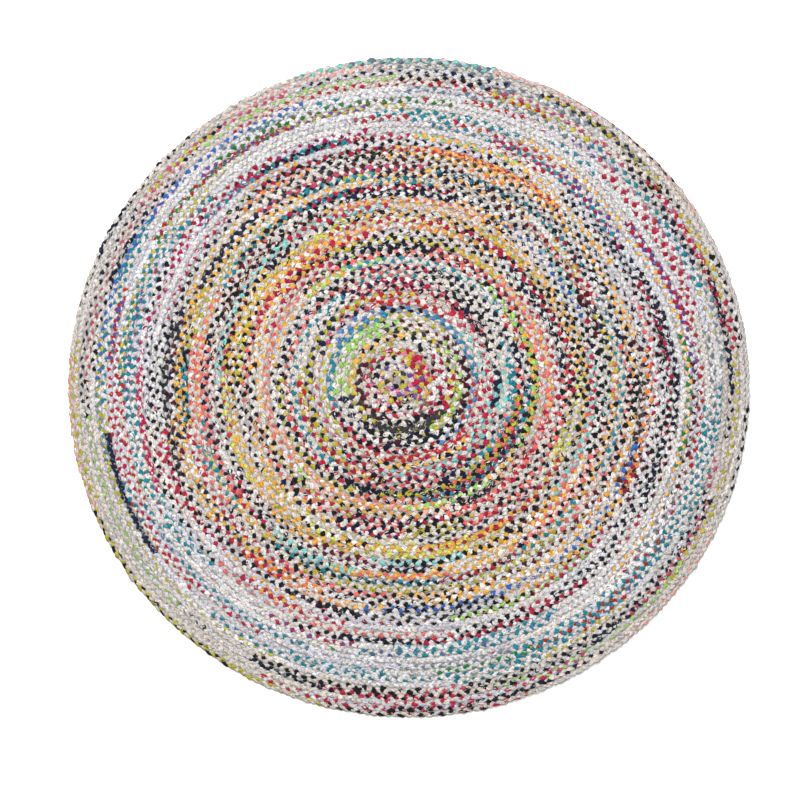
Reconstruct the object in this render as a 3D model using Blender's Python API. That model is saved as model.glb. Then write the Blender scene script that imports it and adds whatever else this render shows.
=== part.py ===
"""Round braided rag rug, 6 ft across, lying flat.

One three-strand braid of cotton rag is wound in a flat spiral from the middle out, and each
turn is sewn edge to edge to the turn inside it. The braid is one continuous length, so the rug
is one solid: a flat disc with a soft ridge along every turn, a seam groove between the turns, a
rounded rim and a flat underside. Metres, +Z up, origin at the middle of the underside.
"""

import math

import bmesh
import bpy

# Driving dimensions
DIAMETER = 1.83
THICKNESS = 0.009
SEAM_DEPTH = 0.0016

# The winding: 50 turns, with the first turns a little wider than the last ones
TURNS = 50
STEPS_PER_TURN = 40
FIRST_PITCH = 0.0203
PITCH_LOSS_PER_TURN = 0.000088
TAPER_TURNS = 1.0

# The winding starts a little off the middle of the finished outline, and its tail ends at
# this angle, anticlockwise from +X; a whole number of steps keeps a vertex on each axis
START_X = -0.028
TAIL_DEGREES = 72

# The rounded rim from its shoulder down to the underside
RIM_PROFILE = (
    # inset from the outline, height as a share of the thickness
    (0.0014, 0.80),
    (0.0000, 0.48),
    (0.0014, 0.16),
    (0.0045, 0.00),
)

RAG_COLOUR = (0.74, 0.70, 0.67, 1.0)
RAG_ROUGHNESS = 0.95

RADIUS = DIAMETER / 2
LAST_PITCH = FIRST_PITCH - PITCH_LOSS_PER_TURN * TURNS
OUTER_RIDGE_INSET = LAST_PITCH / 2


def clear_scene():
    """Remove the objects the scene starts with."""
    for item in list(bpy.data.objects):
        bpy.data.objects.remove(item, do_unlink=True)


def wound_radius(turn):
    """Distance of the braid's middle from the start of the winding, after this many turns."""
    unscaled = FIRST_PITCH * turn - PITCH_LOSS_PER_TURN * turn ** 2 / 2
    last_full = TURNS - TAPER_TURNS
    reach = FIRST_PITCH * last_full - PITCH_LOSS_PER_TURN * last_full ** 2 / 2
    return unscaled * (RADIUS - OUTER_RIDGE_INSET) / reach


def wound_angle(turn):
    """Angle after this many turns; whole turns are at the tail's angle."""
    return math.radians(TAIL_DEGREES) + math.tau * turn


def plan_point(radius, turn):
    """Place a radius in the rug's plane; the start's offset dies out towards the outline."""
    angle = wound_angle(turn)
    x = START_X * (1 - radius / RADIUS) + radius * math.cos(angle)
    y = radius * math.sin(angle)
    return x, y


def spiral_line(bm, first_step, last_step, turns_ahead, height):
    """Vertices along the spiral, one for each step, keyed by step."""
    line = {}
    for step in range(first_step, last_step + 1):
        turn = step / STEPS_PER_TURN
        radius = min(wound_radius(turn + turns_ahead), RADIUS)
        x, y = plan_point(radius, turn)
        line[step] = bm.verts.new((x, y, height))
    return line


def rim_rings(bm):
    """Rings of vertices from the rim's shoulder down to the underside."""
    rings = []
    for inset, height_share in RIM_PROFILE:
        ring = []
        for step in range(STEPS_PER_TURN):
            angle = wound_angle(step / STEPS_PER_TURN)
            radius = RADIUS - inset
            place = (radius * math.cos(angle), radius * math.sin(angle), THICKNESS * height_share)
            ring.append(bm.verts.new(place))
        rings.append(ring)
    return rings


def add_face(bm, *corners):
    """Add a face, leaving out a corner that repeats the one before it."""
    kept = []
    for corner in corners:
        if corner not in kept:
            kept.append(corner)
    bm.faces.new(kept)


def build_rug():
    """The whole rug as one closed body."""
    bm = bmesh.new()
    per_turn = STEPS_PER_TURN
    tail = TURNS * per_turn
    last_turn = tail - per_turn
    rings = rim_rings(bm)
    shoulder = rings[0]

    ridge = spiral_line(bm, 0, tail - 1, 0.0, THICKNESS)
    seam = spiral_line(bm, 1, last_turn - 1, 0.5, THICKNESS - SEAM_DEPTH)
    seam[0] = ridge[0]
    seam[last_turn] = shoulder[0]
    ridge[tail] = shoulder[0]

    # The first turn closes round the start of the braid
    for step in range(1, per_turn):
        add_face(bm, ridge[0], ridge[step], ridge[step + 1])

    # Each turn falls from its ridge to the seam and rises to the next turn's ridge
    for step in range(last_turn):
        add_face(bm, ridge[step], seam[step], seam[step + 1], ridge[step + 1])
        outer = step + per_turn
        add_face(bm, seam[step], ridge[outer], ridge[outer + 1], seam[step + 1])

    # The last turn falls to the shoulder, and its tail tapers into the rim
    for step in range(last_turn, tail):
        here = step % per_turn
        ahead = (step + 1) % per_turn
        add_face(bm, ridge[step], shoulder[here], shoulder[ahead], ridge[step + 1])

    for upper, lower in zip(rings, rings[1:]):
        for here in range(per_turn):
            ahead = (here + 1) % per_turn
            add_face(bm, upper[here], lower[here], lower[ahead], upper[ahead])

    add_face(bm, *reversed(rings[-1]))

    mesh = bpy.data.meshes.new("braided_rug")
    bm.to_mesh(mesh)
    bm.free()
    return mesh


def rag_material():
    """Off-white cotton rag, dull and rough."""
    material = bpy.data.materials.new("cotton_rag")
    material.use_nodes = True
    shader = material.node_tree.nodes["Principled BSDF"]
    shader.inputs["Base Color"].default_value = RAG_COLOUR
    shader.inputs["Roughness"].default_value = RAG_ROUGHNESS
    shader.inputs["Metallic"].default_value = 0.0
    return material


def main():
    clear_scene()
    mesh = build_rug()
    mesh.materials.append(rag_material())
    mesh.shade_smooth()
    mesh.set_sharp_from_angle(angle=math.radians(50))
    rug = bpy.data.objects.new("braided_rug", mesh)
    bpy.context.scene.collection.objects.link(rug)


main()
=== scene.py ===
"""Looks of the round braided rag rug: three rag strands plaited and wound in a spiral.

The winding repeats the CAD solid's: the braid starts near the middle and each turn is sewn to the
one inside it. Each strand is a flattened tube that passes over and under the other two, joined
from torn rags of many colours. All sizes are in metres, and angles are degrees anticlockwise
from +X.
"""

import math

import bpy
import numpy as np
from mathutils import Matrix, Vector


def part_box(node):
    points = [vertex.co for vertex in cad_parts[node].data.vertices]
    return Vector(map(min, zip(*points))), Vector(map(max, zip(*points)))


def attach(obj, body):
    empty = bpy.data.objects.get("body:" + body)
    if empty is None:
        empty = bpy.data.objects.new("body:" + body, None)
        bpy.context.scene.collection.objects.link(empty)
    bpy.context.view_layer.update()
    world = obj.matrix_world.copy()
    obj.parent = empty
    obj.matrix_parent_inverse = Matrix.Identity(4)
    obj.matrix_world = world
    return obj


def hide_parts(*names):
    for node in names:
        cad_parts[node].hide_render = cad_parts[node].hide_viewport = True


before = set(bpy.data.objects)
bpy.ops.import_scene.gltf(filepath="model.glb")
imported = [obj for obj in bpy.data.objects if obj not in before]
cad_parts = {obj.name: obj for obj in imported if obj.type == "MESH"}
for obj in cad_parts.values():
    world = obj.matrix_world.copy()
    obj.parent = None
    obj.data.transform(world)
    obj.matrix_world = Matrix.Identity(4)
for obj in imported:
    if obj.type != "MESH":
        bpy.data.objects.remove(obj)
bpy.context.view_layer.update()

NODE = "braided_rug"
BODY = "root"

low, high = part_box(NODE)
RADIUS = (high.x - low.x) / 2
MIDDLE_HEIGHT = (low.z + high.z) / 2

# The winding, as in the CAD solid
TURNS = 50
FIRST_PITCH = 0.0203
PITCH_LOSS_PER_TURN = 0.000088
TAPER_TURNS = 1.0
START_X = -0.028
TAIL_DEGREES = 72
LAST_PITCH = FIRST_PITCH - PITCH_LOSS_PER_TURN * TURNS

# The rows step outwards mostly beside the tapered tail: this share of the outermost row's
# growth falls in this part of a turn before the tail's angle
STEP_SHARE = 0.6
STEP_TURNS = 0.14

# The hand-wound rows stray from the even spiral, most of all at the peak's share of the radius;
# up to there the stray grows with the radius to this power
STRAY_PEAK = 0.80
STRAY_RISE = 1.5
ROW_STRAY = (
    # degrees, distance outwards
    (0, 0.012),
    (12, 0.000),
    (35, -0.029),
    (62, -0.007),
    (90, 0.003),
    (130, 0.019),
    (188, 0.010),
    (206, 0.018),
    (250, 0.013),
    (266, 0.002),
    (320, 0.012),
)

# The plait: three strands, each following the same wave a third of its length apart
STRANDS = 3
PLAIT_LENGTHS = (
    # turn, length in which a strand comes back to its place
    (0, 0.049),
    (12, 0.049),
    (22, 0.046),
    (44, 0.0455),
    (48, 0.050),
    (50, 0.056),
)
SWING_SHARE = 0.28
LIFT = 0.0022

# Samples of the braid's middle line in each turn, and how far on either side, in plaits, its
# direction is taken
LINE_STEPS = 720
DIRECTION_REACH = 0.02

# A strand's sections, in degrees: where they stand in each plait, and the corners that make them
# flat on top. Their size follows the row's width, from the tip share, where the braid starts and
# ends, to the fullest share, and the rest gap keeps them just above the underside
PLAIT_STATIONS = (0, 25, 62, 100, 140, 180, 205, 242, 280, 320)
SECTION_DEGREES = (54, 126, 198, 270, 342)
HALF_WIDTH_SHARE = 0.345
HALF_THICKNESS = 0.0021
TIP_SHARE = 0.12
FULLEST_SHARE = 1.25
REST_GAP = 0.0001

# A strand spreads where it passes over the others; under them it is squeezed narrower and
# pulled in from the edge
SPREAD_OVER = 0.08
SQUEEZE_UNDER = 0.38
PULL_UNDER = 0.22

# Each strand is made in this many lengths
PIECES = 7

# How uneven the rags are: the spread of a rag's and a lobe's thickness with its limits, how much
# a join swells, how thickness eases along the strand, and how far corners and lobes stray
FAT_RAG = 0.15
FAT_RAG_LIMITS = (0.75, 1.4)
FAT_LOBE = 0.22
FAT_LOBE_LIMITS = (0.7, 1.4)
JOIN_SWELL = 0.35
FAT_EASING = (0.1, 0.2, 0.4, 0.2, 0.1)
CRUMPLE = 0.0009
SWING_SLIP = 0.0008
LIFT_SLIP = 0.0004
LOBES_PER_PLAIT = 2
LOBE_MARGIN = 0.0001

# Rag lengths in plaits, from shortest to longest; they are cut to the first share in the middle
# of the rug and reach full length at the full turn
COLOURED_PLAITS = (1.5, 12.0)
WHITE_PLAITS = (1.5, 10.0)
FIRST_LENGTHS = 0.15
FULL_LENGTHS_TURN = 14

# How often the quietest strand is coloured, and how far ahead, in plaits, a coloured rag looks
# at its neighbours
LAST_STRAND_SHARE = 0.07
LOOK_AHEAD = 3.0

# How far a rag strays from its dye: the spread of its lightness with its limits, and of its
# warmth
LIGHTNESS_SPREAD = 0.07
LIGHTNESS_LIMITS = (0.8, 1.15)
WARMTH_SPREAD = 0.02

# Which rags are pale, how many have a second colour, and how much of a rag its partner strip is
PALE_LEVEL = 0.45
FLECKED_SHARE = 0.35
TWO_COLOUR_SHARE = 0.35
FLECK_PART = (0.04, 0.16)
PALE_PART = (0.2, 0.5)
PALE_PARTNER_SHADE = (0.80, 1.0)
TWO_COLOUR_PART = (0.08, 0.34)
PLAIN_PART = (0.04, 0.30)

SEED = 45

# The rags' dyed colours in everyday light, as red, green and blue in hexadecimal
PALETTE = {
    "cream": "E8DFD6",
    "chalk": "EEEBEA",
    "greige": "DBD4CD",
    "mist": "DCDCE3",
    "lilac white": "DFDAE8",
    "blush white": "E6D6CF",
    "black": "14161C",
    "navy": "17213F",
    "charcoal": "3B3A3D",
    "taupe": "7A6A58",
    "brown": "6B3A24",
    "maroon": "5A1A2A",
    "crimson": "BE1F42",
    "magenta": "B5175F",
    "red": "BE241E",
    "coral": "F07068",
    "salmon": "F2A698",
    "pink": "DE7E9C",
    "rose": "C94F70",
    "orange": "F28838",
    "gold": "F2B24A",
    "mustard": "C4B636",
    "lemon": "DCD960",
    "lime": "A2D66A",
    "green": "23843F",
    "teal": "158A9C",
    "aqua": "84D6D0",
    "blue": "3166BA",
    "sky": "5C8ED0",
    "slate": "6F8794",
    "violet": "6E4A9E",
}


def linear_colour(name):
    """A palette colour as linear red, green and blue."""
    code = PALETTE[name]
    levels = np.array([int(code[i : i + 2], 16) / 255 for i in (0, 2, 4)])
    return np.where(levels <= 0.04045, levels / 12.92, ((levels + 0.055) / 1.055) ** 2.4)


def smooth_table(table, degrees):
    """Values of an (angle, value) table all the way round, eased between its rows."""
    angles = np.array([row[0] for row in table] + [table[0][0] + 360.0])
    values = np.array([row[1] for row in table] + [table[0][1]])
    at = np.mod(degrees, 360.0)
    index = np.clip(np.searchsorted(angles, at, side="right") - 1, 0, len(table) - 1)
    share = (at - angles[index]) / (angles[index + 1] - angles[index])
    eased = share * share * (3 - 2 * share)
    return values[index] + (values[index + 1] - values[index]) * eased


def wound_radius(turn):
    """Distance of the braid's middle from the start of the winding, after this many turns."""
    last_full = TURNS - TAPER_TURNS
    reach = FIRST_PITCH * last_full - PITCH_LOSS_PER_TURN * last_full**2 / 2
    unscaled = FIRST_PITCH * turn - PITCH_LOSS_PER_TURN * turn**2 / 2
    return unscaled * (RADIUS - LAST_PITCH / 2) / reach


def stepped(turn):
    """Turns with part of each turn's growth gathered beside the tail, more so further out."""
    whole = np.floor(turn)
    share = turn - whole
    ramp = np.clip((share - 1 + STEP_TURNS) / STEP_TURNS, 0, 1)
    jump = ramp * ramp * (3 - 2 * ramp)
    strength = STEP_SHARE * np.clip(turn / TURNS, 0, 1) ** 2
    return whole + share + (jump - share) * strength


def row_edge(turn):
    """Plan place of the seam outside the row that is this many turns along."""
    degrees = TAIL_DEGREES + 360 * turn
    radius = np.clip(wound_radius(stepped(turn) + 0.5), 0, RADIUS)
    share = radius / RADIUS
    rising = np.clip(share / STRAY_PEAK, 0, 1) ** STRAY_RISE
    falling = np.clip((1 - share) / (1 - STRAY_PEAK), 0, 1)
    radius = radius + smooth_table(ROW_STRAY, degrees) * rising * falling
    angle = np.radians(degrees)
    x = START_X * (1 - share) + radius * np.cos(angle)
    y = radius * np.sin(angle)
    return np.stack([x, y], axis=-1)


def braid_line():
    """The braid's middle line and width, sampled finely, with the plait's running phase."""
    turn = np.linspace(0.0, TURNS, TURNS * LINE_STEPS + 1)
    outer = row_edge(turn)
    inner = row_edge(turn - 1)
    # The first half turn lies against the start of the braid
    inner[turn < 0.5] = (START_X, 0.0)
    middle = (outer + inner) / 2
    width = np.linalg.norm(outer - inner, axis=1)
    step = np.linalg.norm(np.diff(middle, axis=0), axis=1)
    length = np.concatenate([[0.0], np.cumsum(step)])
    turns, lengths = zip(*PLAIT_LENGTHS)
    rate = 1 / np.interp(turn, turns, lengths)
    plaits = np.concatenate([[0.0], np.cumsum(step * (rate[1:] + rate[:-1]) / 2)])
    return {"turn": turn, "middle": middle, "width": width, "length": length, "plaits": plaits}


LINE = braid_line()


def along(plaits, key):
    """A quantity of the braid's line at these numbers of plaits from its start."""
    table = LINE[key]
    if table.ndim == 1:
        return np.interp(plaits, LINE["plaits"], table)
    columns = [np.interp(plaits, LINE["plaits"], table[:, i]) for i in range(table.shape[1])]
    return np.stack(columns, axis=-1)


# Off-white rags by distance out: cream first, then a cool white band, then greige
GROUNDS = (
    # up to turn, rags
    (20, ("cream", "cream", "chalk", "cream", "blush white", "greige")),
    (33, ("cream", "cream", "greige", "chalk", "blush white", "chalk")),
    (45, ("chalk", "chalk", "mist", "lilac white", "chalk", "cream")),
    (51, ("greige", "greige", "cream", "greige", "mist", "blush white")),
)

# Coloured rags by distance out, and how often the two busier strands carry one
COLOURS = (
    # up to turn, busiest strand's share, second strand's share, rags
    (4, 0.95, 0.85, (
        "mustard", "crimson", "mustard", "gold", "black", "pink", "charcoal", "violet",
        "black",
    )),
    (5, 0.80, 0.50, ("crimson", "taupe", "black", "crimson", "red")),
    (7, 0.95, 0.80, (
        "charcoal", "crimson", "black", "mustard", "maroon", "gold", "black", "black",
    )),
    (9, 0.85, 0.45, ("lime", "navy", "mustard", "black", "navy", "maroon")),
    (10, 0.90, 0.70, ("black", "teal", "navy", "red", "sky", "black", "crimson")),
    (14, 0.90, 0.55, (
        "mustard", "rose", "red", "navy", "crimson", "gold", "navy", "black", "aqua", "black",
    )),
    (17, 0.90, 0.55, ("teal", "navy", "black", "mustard", "crimson", "black", "navy", "coral")),
    (19, 0.90, 0.55, ("coral", "mustard", "black", "maroon", "black", "gold", "salmon", "lime")),
    (22, 0.90, 0.55, ("gold", "navy", "crimson", "black", "mustard", "gold", "black", "coral")),
    (25, 0.88, 0.55, ("gold", "mustard", "black", "gold", "crimson", "navy", "black", "lemon")),
    (28, 0.90, 0.58, (
        "black", "coral", "maroon", "black", "crimson", "gold", "navy", "black", "aqua",
    )),
    (31, 0.88, 0.56, (
        "gold", "black", "crimson", "black", "mustard", "navy", "black", "coral", "teal",
    )),
    (34, 0.86, 0.50, (
        "black", "gold", "black", "charcoal", "maroon", "crimson", "black", "orange", "gold",
        "navy",
    )),
    (36, 0.78, 0.38, ("black", "lime", "crimson", "black", "gold", "maroon", "coral", "crimson")),
    (38, 0.75, 0.20, ("crimson", "magenta", "black", "teal", "black", "navy", "crimson")),
    (45, 0.52, 0.12, ("teal", "crimson", "green", "mustard", "teal", "violet", "red", "slate")),
    (48, 0.60, 0.20, ("black", "rose", "lime", "mustard", "navy", "black", "crimson", "slate")),
    (51, 0.50, 0.15, (
        "black", "black", "brown", "salmon", "navy", "mustard", "crimson", "black",
    )),
)

# A rag that is in all three strands at once
ALL = 3

# The long rags that stand out most, set over the mix above. A row of the rug runs once round
# from the tail's angle, so its angles go on past 360. The strand is how busy it is: 2 carries
# most colour, 1 less
LONG_RAGS = (
    # row, from degrees, to degrees, strand, rag
    (5, 150, 235, 2, "charcoal"),
    (6, 240, 325, ALL, "charcoal"),
    (7, 110, 195, 2, "lime"),
    (8, 110, 195, 2, "lime"),
    (7, 195, 300, 2, "navy"),
    (8, 220, 330, 2, "navy"),
    (9, 130, 195, 2, "teal"),
    (10, 150, 225, 2, "mustard"),
    (11, 160, 250, 2, "rose"),
    (13, 170, 250, 2, "mustard"),
    (14, 120, 230, 2, "teal"),
    (18, 155, 220, 2, "coral"),
    (19, 160, 210, 2, "gold"),
    (21, 200, 245, 2, "gold"),
    (26, 110, 200, 2, "maroon"),
    (26, 380, 420, 2, "blue"),
    (27, 170, 215, 2, "coral"),
    (28, 125, 190, 2, "gold"),
    (28, 230, 300, 2, "black"),
    (28, 380, 425, 2, "maroon"),
    (29, 240, 315, 2, "mustard"),
    (30, 285, 330, 2, "maroon"),
    (31, 85, 130, 2, "rose"),
    (31, 85, 195, 1, "charcoal"),
    (31, 155, 230, 2, "gold"),
    (32, 75, 105, 2, "maroon"),
    (32, 260, 345, 2, "blue"),
    (33, 110, 150, 2, "navy"),
    (34, 250, 300, 2, "black"),
    (36, 125, 165, 2, "magenta"),
    (36, 225, 280, 2, "coral"),
    (37, 165, 205, 2, "magenta"),
    (37, 245, 320, 2, "black"),
    (37, 395, 425, 2, "teal"),
    (38, 135, 220, 2, "teal"),
    (39, 145, 200, 2, "teal"),
    (39, 315, 425, 2, "gold"),
    (40, 205, 250, 2, "teal"),
    (40, 330, 365, 2, "maroon"),
    (41, 170, 240, 2, "crimson"),
    (42, 80, 130, 2, "green"),
    (42, 160, 200, 2, "red"),
    (42, 290, 355, 2, "teal"),
    (43, 230, 285, 2, "teal"),
    (43, 190, 215, ALL, "navy"),
    (43, 380, 410, 2, "rose"),
    (44, 110, 180, 2, "blue"),
    (44, 195, 245, 2, "mustard"),
    (45, 280, 340, 2, "black"),
    (46, 135, 180, 2, "rose"),
    (46, 185, 225, 2, "lime"),
    (47, 72, 110, 2, "navy"),
    (47, 320, 365, 2, "mustard"),
    (49, 75, 110, 2, "aqua"),
    (49, 75, 100, 1, "slate"),
)

# The same rags by the turns they run from and to
LONG_SPANS = [
    (row + (start - TAIL_DEGREES) / 360, row + (stop - TAIL_DEGREES) / 360, strand, name)
    for row, start, stop, strand, name in LONG_RAGS
]


def zone_row(zones, turn):
    """The first row of a zone table that reaches this turn."""
    for row in zones:
        if turn < row[0]:
            return row
    return zones[-1]


def off_white(turn, rng):
    """An off-white rag's name, as found this far out."""
    ground = zone_row(GROUNDS, turn)[-1]
    return ground[rng.integers(len(ground))]


def rag_list(strand, made, rng):
    """Rags of one strand in order: the plait count where each ends, and its colour name.

    A coloured rag differs from the long rags at its start and from the rags beside it in the
    strands already made. The strand is added to those.
    """
    total = LINE["plaits"][-1]
    ends = []
    names = []
    at = 0.0
    while at < total:
        turn = float(along(at, "turn"))
        _, busiest, second, colours = zone_row(COLOURS, turn)
        share = (LAST_STRAND_SHARE, second, busiest)[strand]
        lengths = max(min(turn / FULL_LENGTHS_TURN, 1), FIRST_LENGTHS)
        if rng.random() < share:
            beside = {name for first, last, _, name in LONG_SPANS if first <= turn < last}
            for other_ends, other_names in made:
                for spot in (at, min(at + LOOK_AHEAD * lengths, total)):
                    beside.add(other_names[np.searchsorted(other_ends, spot, side="right")])
            free = [name for name in colours if name not in beside]
            names.append(free[rng.integers(len(free))])
            at += rng.uniform(*COLOURED_PLAITS) * lengths
        else:
            names.append(off_white(turn, rng))
            at += rng.uniform(*WHITE_PLAITS) * lengths
        ends.append(at)
    made.append((ends, names))
    return np.array(ends), list(names)


def strand_colours(strand, made, plaits, rng):
    """Each station's linear colour, its partner strip's colour and share, and its rag's number."""
    ends, names = rag_list(strand, made, rng)
    rag = np.searchsorted(ends, plaits, side="right").clip(0, len(names) - 1)
    turn = along(plaits, "turn")
    for first, last, busy, name in LONG_SPANS:
        if busy in (strand, ALL):
            rag[(turn >= first) & (turn < last)] = len(names)
            names.append(name)
    tint = np.array([linear_colour(name) for name in names])
    value = rng.normal(1.0, LIGHTNESS_SPREAD, len(names)).clip(*LIGHTNESS_LIMITS)
    warm = rng.normal(0.0, WARMTH_SPREAD, len(names))
    tint = tint * value[:, None] * np.stack([1 + warm, np.ones(len(names)), 1 - warm], axis=1)

    # A rag is a bundle of two strips: a coloured one with some off-white or a second colour
    # beside it, or an off-white one with a second off-white or a few coloured flecks
    partner = np.empty_like(tint)
    share = np.empty(len(names))
    middle_turn = np.zeros(len(names))
    for number in np.unique(rag):
        middle_turn[number] = turn[rag == number].mean()
    for number in range(len(names)):
        pale = tint[number].min() > PALE_LEVEL
        there = middle_turn[number]
        colours = zone_row(COLOURS, there)[-1]
        if pale and rng.random() < FLECKED_SHARE:
            partner[number] = linear_colour(colours[rng.integers(len(colours))])
            share[number] = rng.uniform(*FLECK_PART)
        elif pale:
            partner[number] = linear_colour(off_white(there, rng))
            partner[number] *= rng.uniform(*PALE_PARTNER_SHADE)
            share[number] = rng.uniform(*PALE_PART)
        elif rng.random() < TWO_COLOUR_SHARE:
            partner[number] = linear_colour(colours[rng.integers(len(colours))])
            share[number] = rng.uniform(*TWO_COLOUR_PART)
        else:
            partner[number] = linear_colour(off_white(there, rng))
            share[number] = rng.uniform(*PLAIN_PART)
    return tint.clip(0, 1)[rag], partner.clip(0, 1)[rag], share[rag], rag


def strand_tube(strand, made):
    """Vertices and surface data of one whole strand, given the rags of the strands made before."""
    rng = np.random.default_rng(SEED + strand)
    total = LINE["plaits"][-1]
    lead = strand / STRANDS
    stations = np.array(PLAIT_STATIONS) / 360
    count = int(total) - 1
    phase = (np.arange(1, count)[:, None] + stations[None, :]).ravel()
    plaits = phase - lead
    turns_of_phase = math.tau * phase

    middle = along(plaits, "middle")
    ahead = along(plaits + DIRECTION_REACH, "middle") - along(plaits - DIRECTION_REACH, "middle")
    forward = ahead / np.linalg.norm(ahead, axis=1)[:, None]
    side = np.stack([forward[:, 1], -forward[:, 0]], axis=1)
    turn = along(plaits, "turn")
    pitch = FIRST_PITCH - PITCH_LOSS_PER_TURN * turn
    width = along(plaits, "width")
    fill = np.clip(width / pitch, TIP_SHARE, FULLEST_SHARE)

    colour, partner, share, rag = strand_colours(strand, made, plaits, rng)

    # The margin keeps a station that falls on a lobe's first edge in that lobe
    lobes = np.floor(phase * LOBES_PER_PLAIT + LOBE_MARGIN).astype(int)
    lobe_fat = rng.normal(1.0, FAT_LOBE, lobes.max() + 2).clip(*FAT_LOBE_LIMITS)
    rag_fat = rng.normal(1.0, FAT_RAG, rag.max() + 2).clip(*FAT_RAG_LIMITS)
    joined = np.zeros(len(phase))
    joined[1:] = rag[1:] != rag[:-1]
    spread = len(PLAIT_STATIONS) // 2
    swell = np.convolve(joined, np.hanning(2 * spread + 3)[1:-1], mode="same").clip(0, 1)
    fat = rag_fat[rag] * lobe_fat[lobes] * (1 + JOIN_SWELL * swell)
    fat = np.convolve(np.pad(fat, len(FAT_EASING) // 2, mode="edge"), FAT_EASING, mode="valid")

    slip = rng.normal(0, SWING_SLIP, lobes.max() + 2)[lobes]
    hop = rng.normal(0, LIFT_SLIP, lobes.max() + 2)[lobes]
    height = np.sin(2 * turns_of_phase)
    over = np.clip(height, 0, 1)
    under = np.clip(-height, 0, 1)
    swing = SWING_SHARE * width * np.sin(turns_of_phase) * (1 - PULL_UNDER * under)
    swing += slip * fill
    lift = LIFT * height * np.sqrt(fill) + hop
    line = np.empty((len(phase), 3))
    line[:, :2] = middle + side * swing[:, None]
    line[:, 2] = MIDDLE_HEIGHT + lift

    run = np.gradient(line, axis=0)
    run /= np.linalg.norm(run, axis=1)[:, None]
    across = np.cross(run, (0.0, 0.0, 1.0))
    across /= np.linalg.norm(across, axis=1)[:, None]
    above = np.cross(across, run)

    angles = np.radians(SECTION_DEGREES)
    half_width = HALF_WIDTH_SHARE * pitch * fill * fat
    half_width *= 1 + SPREAD_OVER * over - SQUEEZE_UNDER * under
    half_thick = HALF_THICKNESS * np.sqrt(fill) * np.sqrt(fat)
    verts = (
        line[:, None, :]
        + across[:, None, :] * (half_width[:, None] * np.cos(angles))[..., None]
        + above[:, None, :] * (half_thick[:, None] * np.sin(angles))[..., None]
    )
    verts += rng.normal(0, CRUMPLE, verts.shape) * fill[:, None, None]
    verts[..., 2] = np.maximum(verts[..., 2], low.z + REST_GAP)
    return {
        "verts": verts,
        "colour": colour,
        "partner": partner,
        "share": share,
        "rag": rag,
        "length": along(plaits, "length"),
    }


def strand_piece(strand, number, tube, first, last):
    """One length of a strand as a closed mesh with its rag colours."""
    sides = len(SECTION_DEGREES)
    verts = tube["verts"][first : last + 1]
    rings = len(verts)
    start = np.arange(rings - 1)[:, None] * sides
    here = np.arange(sides)[None, :]
    there = (here + 1) % sides
    corners = [start + here, start + there, start + sides + there, start + sides + here]
    quads = np.stack(corners, axis=-1).reshape(-1, 4)[:, ::-1]
    front = list(range(sides))
    back = [(rings - 1) * sides + i for i in reversed(range(sides))]

    mesh = bpy.data.meshes.new(f"strand_{strand + 1}_{number + 1}")
    loops = np.concatenate([quads.ravel(), front, back]).astype(np.int32)
    starts = np.concatenate([np.arange(len(quads)) * 4, [len(quads) * 4, len(quads) * 4 + sides]])
    mesh.vertices.add(rings * sides)
    mesh.vertices.foreach_set("co", verts.reshape(-1).astype(np.float32))
    mesh.loops.add(len(loops))
    mesh.loops.foreach_set("vertex_index", loops)
    mesh.polygons.add(len(starts))
    mesh.polygons.foreach_set("loop_start", starts.astype(np.int32))
    mesh.update(calc_edges=True)
    mesh.validate()
    mesh.shade_smooth()

    of_face = np.concatenate([np.repeat(np.arange(rings - 1), sides), [0, rings - 2]]) + first
    face_loops = np.concatenate([np.full(len(quads), 4), [sides, sides]])
    opaque = np.ones(len(tube["rag"]))
    for name, colour, alpha in (
        ("rag_colour", tube["colour"], opaque),
        ("rag_partner", tube["partner"], tube["share"]),
    ):
        rgba = np.concatenate([colour, alpha[:, None]], axis=1)[of_face].astype(np.float32)
        layer = mesh.color_attributes.new(name, "FLOAT_COLOR", "CORNER")
        layer.data.foreach_set("color", np.repeat(rgba, face_loops, axis=0).ravel())

    grain = np.zeros((rings, sides, 3), dtype=np.float32)
    grain[..., 0] = tube["length"][first : last + 1][:, None]
    grain[..., 1] = np.arange(sides)[None, :] / sides
    grain[..., 2] = tube["rag"][first : last + 1][:, None]
    layer = mesh.attributes.new("rag_grain", "FLOAT_VECTOR", "POINT")
    layer.data.foreach_set("vector", grain.ravel())

    piece = bpy.data.objects.new(mesh.name, mesh)
    bpy.context.scene.collection.objects.link(piece)
    return piece


def link_nodes(tree, *pairs):
    """Join output to input for each (from node, output, to node, input)."""
    for source, output, target, socket in pairs:
        tree.links.new(source.outputs[output], target.inputs[socket])


def noise_node(tree, scale, detail, kind="FBM"):
    """A noise texture of this scale and detail."""
    node = tree.nodes.new("ShaderNodeTexNoise")
    node.noise_type = kind
    node.inputs["Scale"].default_value = scale
    node.inputs["Detail"].default_value = detail
    return node


def stretch_node(tree, scale):
    """A mapping that scales a strand's own coordinates: length, way round and rag number."""
    node = tree.nodes.new("ShaderNodeMapping")
    node.inputs["Scale"].default_value = scale
    return node


def range_node(tree, source, target):
    """A map from one range to another."""
    node = tree.nodes.new("ShaderNodeMapRange")
    node.inputs["From Min"].default_value = source[0]
    node.inputs["From Max"].default_value = source[1]
    node.inputs["To Min"].default_value = target[0]
    node.inputs["To Max"].default_value = target[1]
    return node


def math_node(tree, operation, second=0.0):
    """A math node for one operation, whose second value is given here or linked later."""
    node = tree.nodes.new("ShaderNodeMath")
    node.operation = operation
    node.inputs[1].default_value = second
    return node


def bump_node(tree, distance, strength):
    """A bump of this height and strength."""
    node = tree.nodes.new("ShaderNodeBump")
    node.inputs["Distance"].default_value = distance
    node.inputs["Strength"].default_value = strength
    return node


CLOTH_ROUGHNESS = 0.92
CLOTH_SPECULAR = 0.15
CLOTH_SHEEN = 0.06
SHEEN_ROUGHNESS = 0.6

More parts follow.
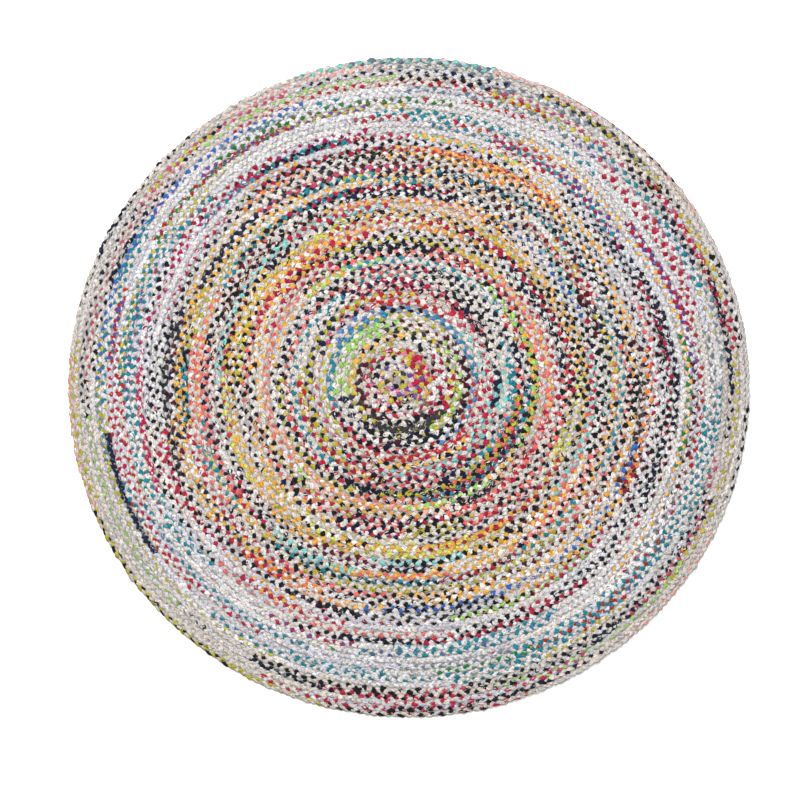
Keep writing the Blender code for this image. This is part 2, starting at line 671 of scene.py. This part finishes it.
# Scale and detail of each noise. Creases and weave lie in space. Folds and strips lie along the
# strand: their coordinates are its length, the way round it and the rag's number, stretched
CREASE_NOISE = (170.0, 2.0)
WEAVE_NOISE = (1500.0, 1.0)
FOLD_NOISE = (1.0, 2.0)
STRIP_NOISE = (1.0, 1.0)
FOLD_STRETCH = (70.0, 11.0, 7.3)
STRIP_STRETCH = (60.0, 6.5, 3.7)

# Noise levels that a partner strip's share of 0 and 1 reaches, and half the width of its edge
STRIP_LEVELS = (0.28, 0.72)
STRIP_EDGE = 0.01

# The darkest and lightest painted shade of folds and creases, over the noise levels that they
# cover: below 1 is painted shade in the folds and crease valleys, above 1 a painted highlight on
# their ridges
FOLD_LEVELS = (0.3, 0.7)
FOLD_PAINTED_SHADES = (0.76, 1.10)
CREASE_LEVELS = (0.1, 0.9)
CREASE_PAINTED_SHADES = (0.80, 1.18)

# The line of painted shade where a fold closes: the middle of the fold noise, the line's half
# width in that noise, and its painted shade
LINE_LEVEL = 0.5
LINE_WIDTH = 0.05
LINE_PAINTED_SHADE = 0.24

# Height in metres and strength of each bump
FOLD_BUMP = (0.0022, 1.0)
CREASE_BUMP = (0.0017, 1.0)
WEAVE_BUMP = (0.0002, 0.5)


def rag_material():
    """Cotton rag: two strips twisted together, with folds along the strand, creases and weave, and
    painted shade and highlight from the folds, creases and fold lines in its colour.
    """
    material = bpy.data.materials.new("cotton_rag_cloth")
    material.use_nodes = True
    tree = material.node_tree
    shader = tree.nodes["Principled BSDF"]
    shader.inputs["Roughness"].default_value = CLOTH_ROUGHNESS
    shader.inputs["Specular IOR Level"].default_value = CLOTH_SPECULAR
    shader.inputs["Sheen Weight"].default_value = CLOTH_SHEEN
    shader.inputs["Sheen Roughness"].default_value = SHEEN_ROUGHNESS

    colour = tree.nodes.new("ShaderNodeAttribute")
    colour.attribute_name = "rag_colour"
    partner = tree.nodes.new("ShaderNodeAttribute")
    partner.attribute_name = "rag_partner"
    grain = tree.nodes.new("ShaderNodeAttribute")
    grain.attribute_name = "rag_grain"
    place = tree.nodes.new("ShaderNodeTexCoord")

    creases = noise_node(tree, *CREASE_NOISE, kind="RIDGED_MULTIFRACTAL")
    weave = noise_node(tree, *WEAVE_NOISE)
    folds = noise_node(tree, *FOLD_NOISE)
    strips = noise_node(tree, *STRIP_NOISE)
    fold_stretch = stretch_node(tree, FOLD_STRETCH)
    strip_stretch = stretch_node(tree, STRIP_STRETCH)
    link_nodes(
        tree,
        (place, "Object", creases, "Vector"),
        (place, "Object", weave, "Vector"),
        (grain, "Vector", fold_stretch, "Vector"),
        (fold_stretch, "Vector", folds, "Vector"),
        (grain, "Vector", strip_stretch, "Vector"),
        (strip_stretch, "Vector", strips, "Vector"),
    )

    # The partner strip shows where the strip noise is under its share of the rag
    level = range_node(tree, (0.0, 1.0), STRIP_LEVELS)
    edge = math_node(tree, "SUBTRACT")
    cut = range_node(tree, (-STRIP_EDGE, STRIP_EDGE), (0.0, 1.0))
    twisted = tree.nodes.new("ShaderNodeMix")
    twisted.data_type = "RGBA"

    # Painted shade and highlight: folds, creases and the dark line darken or lighten the cloth's
    # colour together
    shade = range_node(tree, FOLD_LEVELS, FOLD_PAINTED_SHADES)
    crease_shade = range_node(tree, CREASE_LEVELS, CREASE_PAINTED_SHADES)
    both_shades = math_node(tree, "MULTIPLY")
    all_shades = math_node(tree, "MULTIPLY")
    from_line = math_node(tree, "SUBTRACT", LINE_LEVEL)
    off_line = math_node(tree, "ABSOLUTE")
    line_shade = range_node(tree, (0.0, LINE_WIDTH), (LINE_PAINTED_SHADE, 1.0))
    shaded = tree.nodes.new("ShaderNodeMix")
    shaded.data_type = "RGBA"
    shaded.blend_type = "MULTIPLY"
    shaded.inputs["Factor"].default_value = 1.0
    link_nodes(
        tree,
        (partner, "Alpha", level, "Value"),
        (level, "Result", edge, 0),
        (strips, "Fac", edge, 1),
        (edge, "Value", cut, "Value"),
        (cut, "Result", twisted, "Factor"),
        (colour, "Color", twisted, "A"),
        (partner, "Color", twisted, "B"),
        (folds, "Fac", shade, "Value"),
        (creases, "Fac", crease_shade, "Value"),
        (shade, "Result", both_shades, 0),
        (crease_shade, "Result", both_shades, 1),
        (twisted, "Result", shaded, "A"),
        (folds, "Fac", from_line, 0),
        (from_line, "Value", off_line, 0),
        (off_line, "Value", line_shade, "Value"),
        (both_shades, "Value", all_shades, 0),
        (line_shade, "Result", all_shades, 1),
        (all_shades, "Value", shaded, "B"),
        (shaded, "Result", shader, "Base Color"),
    )

    fold_bump = bump_node(tree, *FOLD_BUMP)
    crease_bump = bump_node(tree, *CREASE_BUMP)
    weave_bump = bump_node(tree, *WEAVE_BUMP)
    link_nodes(
        tree,
        (folds, "Fac", fold_bump, "Height"),
        (fold_bump, "Normal", crease_bump, "Normal"),
        (creases, "Fac", crease_bump, "Height"),
        (crease_bump, "Normal", weave_bump, "Normal"),
        (weave, "Fac", weave_bump, "Height"),
        (weave_bump, "Normal", shader, "Normal"),
    )
    return material


# The thin web between the lobes, where the strands cross and the seams pull them together, dark
# with painted shade for the gaps: its heights above the underside, how far it stays in from the
# rim, its mesh and its cloth
WEB_LOW = 0.0030
WEB_HIGH = 0.0056
WEB_INSET = 0.0075
WEB_RINGS = 24
WEB_SPOKES = 96
# The web's two colours, dark and less dark, are painted shade for the shadow deep in the gaps
# between the lobes
WEB_PAINTED_SHADE_DARK = (0.12, 0.113, 0.107, 1.0)
WEB_PAINTED_SHADE_LIGHT = (0.38, 0.36, 0.345, 1.0)
WEB_ROUGHNESS = 0.95
WEB_NOISE_SCALE = 150.0
WEB_BUMP = 0.001


def braid_web_painted_shade(material):
    """A thin closed sheet inside the plait that shuts the gaps between its lobes, coloured in
    painted shade.
    """
    shares = np.linspace(0, 1, WEB_RINGS + 1)[1:]
    verts = []
    for height in (WEB_HIGH, WEB_LOW):
        verts.append((0.0, 0.0, low.z + height))
        for share in shares:
            for spoke in range(WEB_SPOKES):
                angle = math.tau * spoke / WEB_SPOKES
                radius = (RADIUS - WEB_INSET) * share
                verts.append((radius * math.cos(angle), radius * math.sin(angle), low.z + height))
    layer = 1 + WEB_RINGS * WEB_SPOKES
    faces = []
    for spoke in range(WEB_SPOKES):
        after = (spoke + 1) % WEB_SPOKES
        faces.append((0, 1 + spoke, 1 + after))
        faces.append((layer, layer + 1 + after, layer + 1 + spoke))
        for ring in range(WEB_RINGS - 1):
            inner = 1 + ring * WEB_SPOKES
            outer = inner + WEB_SPOKES
            above = (inner + spoke, outer + spoke, outer + after, inner + after)
            below = (inner + spoke, inner + after, outer + after, outer + spoke)
            faces.append(above)
            faces.append(tuple(layer + corner for corner in below))
        rim = 1 + (WEB_RINGS - 1) * WEB_SPOKES
        faces.append((rim + spoke, layer + rim + spoke, layer + rim + after, rim + after))
    mesh = bpy.data.meshes.new("braid_web_painted_shade")
    mesh.from_pydata(verts, [], faces)
    mesh.materials.append(material)
    piece = bpy.data.objects.new("braid_web_painted_shade", mesh)
    bpy.context.scene.collection.objects.link(piece)
    return piece


def web_painted_shade_material():
    """Painted shade: the strands' undersides as dark cloth, seen only in the gaps."""
    material = bpy.data.materials.new("cotton_rag_web_painted_shade")
    material.use_nodes = True
    tree = material.node_tree
    shader = tree.nodes["Principled BSDF"]
    shader.inputs["Roughness"].default_value = WEB_ROUGHNESS
    place = tree.nodes.new("ShaderNodeTexCoord")
    noise = tree.nodes.new("ShaderNodeTexNoise")
    noise.inputs["Scale"].default_value = WEB_NOISE_SCALE
    # The ramp between two dark colours paints the shade in the gaps
    ramp = tree.nodes.new("ShaderNodeValToRGB")
    ramp.color_ramp.elements[0].color = WEB_PAINTED_SHADE_DARK
    ramp.color_ramp.elements[1].color = WEB_PAINTED_SHADE_LIGHT
    bump = tree.nodes.new("ShaderNodeBump")
    bump.inputs["Distance"].default_value = WEB_BUMP
    link_nodes(
        tree,
        (place, "Object", noise, "Vector"),
        (noise, "Fac", ramp, "Fac"),
        (ramp, "Color", shader, "Base Color"),
        (noise, "Fac", bump, "Height"),
        (bump, "Normal", shader, "Normal"),
    )
    return material


def build_rug():
    """Every piece of the rug, riding on the root body."""
    cloth = rag_material()
    strands = []
    made = []
    for strand in reversed(range(STRANDS)):
        tube = strand_tube(strand, made)
        rings = len(tube["colour"])
        cuts = np.linspace(0, rings - 1, PIECES + 1).astype(int)
        for number in range(PIECES):
            piece = strand_piece(strand, number, tube, cuts[number], cuts[number + 1])
            piece.data.materials.append(cloth)
            strands.append(piece)
    web = braid_web_painted_shade(web_painted_shade_material())
    for piece in [web, *strands]:
        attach(piece, BODY)
    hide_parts(NODE)


# The camera looks down at the rug from in front, far away, with a long lens. Its frame is this
# wide where it aims, on the floor a little beside the rug's middle
CAMERA_TILT = 14.5
CAMERA_DISTANCE = 13.7
FRAME_WIDTH = 2.1326
AIM_X = -0.0320
AIM_Y = -0.0407
SENSOR_MM = 36.0
CLIP_END = 100


def camera():
    """The camera above the front of the rug."""
    data = bpy.data.cameras.new("camera")
    data.sensor_width = SENSOR_MM
    data.lens = SENSOR_MM * CAMERA_DISTANCE / FRAME_WIDTH
    data.clip_end = CLIP_END
    item = bpy.data.objects.new("camera", data)
    tilt = math.radians(CAMERA_TILT)
    item.location = (
        AIM_X,
        AIM_Y - CAMERA_DISTANCE * math.sin(tilt),
        CAMERA_DISTANCE * math.cos(tilt),
    )
    item.rotation_euler = (tilt, 0, 0)
    bpy.context.scene.collection.objects.link(item)
    bpy.context.scene.camera = item


FLOOR_SIZE = 40.0
FLOOR_COLOUR = (0.96, 0.96, 0.96, 1.0)
FLOOR_ROUGHNESS = 0.9


def floor():
    """A plain pale floor just under the rug."""
    half = FLOOR_SIZE / 2
    mesh = bpy.data.meshes.new("floor")
    plan = [(-half, -half), (half, -half), (half, half), (-half, half)]
    corners = [(x, y, low.z) for x, y in plan]
    mesh.from_pydata(corners, [], [(0, 1, 2, 3)])
    material = bpy.data.materials.new("floor_paint")
    material.use_nodes = True
    shader = material.node_tree.nodes["Principled BSDF"]
    shader.inputs["Base Color"].default_value = FLOOR_COLOUR
    shader.inputs["Roughness"].default_value = FLOOR_ROUGHNESS
    mesh.materials.append(material)
    item = bpy.data.objects.new("floor", mesh)
    bpy.context.scene.collection.objects.link(item)


LAMPS = (
    # name, place, size, power
    ("key", (-2.2, 3.0, 6.0), 2.5, 555.0),
    ("fill", (3.5, -2.5, 5.5), 4.0, 160.0),
)
SKY_COLOUR = (1.0, 1.0, 1.0, 1.0)
SKY_STRENGTH = 0.49


def lights():
    """Soft studio light: a white sky and two large round lamps aimed at the rug."""
    world = bpy.data.worlds.new("studio")
    world.use_nodes = True
    backdrop = world.node_tree.nodes["Background"]
    backdrop.inputs["Color"].default_value = SKY_COLOUR
    backdrop.inputs["Strength"].default_value = SKY_STRENGTH
    bpy.context.scene.world = world
    for name, place, size, power in LAMPS:
        data = bpy.data.lights.new(name, "AREA")
        data.shape = "DISK"
        data.size = size
        data.energy = power
        item = bpy.data.objects.new(name, data)
        item.location = place
        direction = -item.location
        item.rotation_euler = direction.to_track_quat("-Z", "Y").to_euler()
        bpy.context.scene.collection.objects.link(item)


bpy.context.scene.view_settings.view_transform = "Standard"
build_rug()
camera()
floor()
lights()
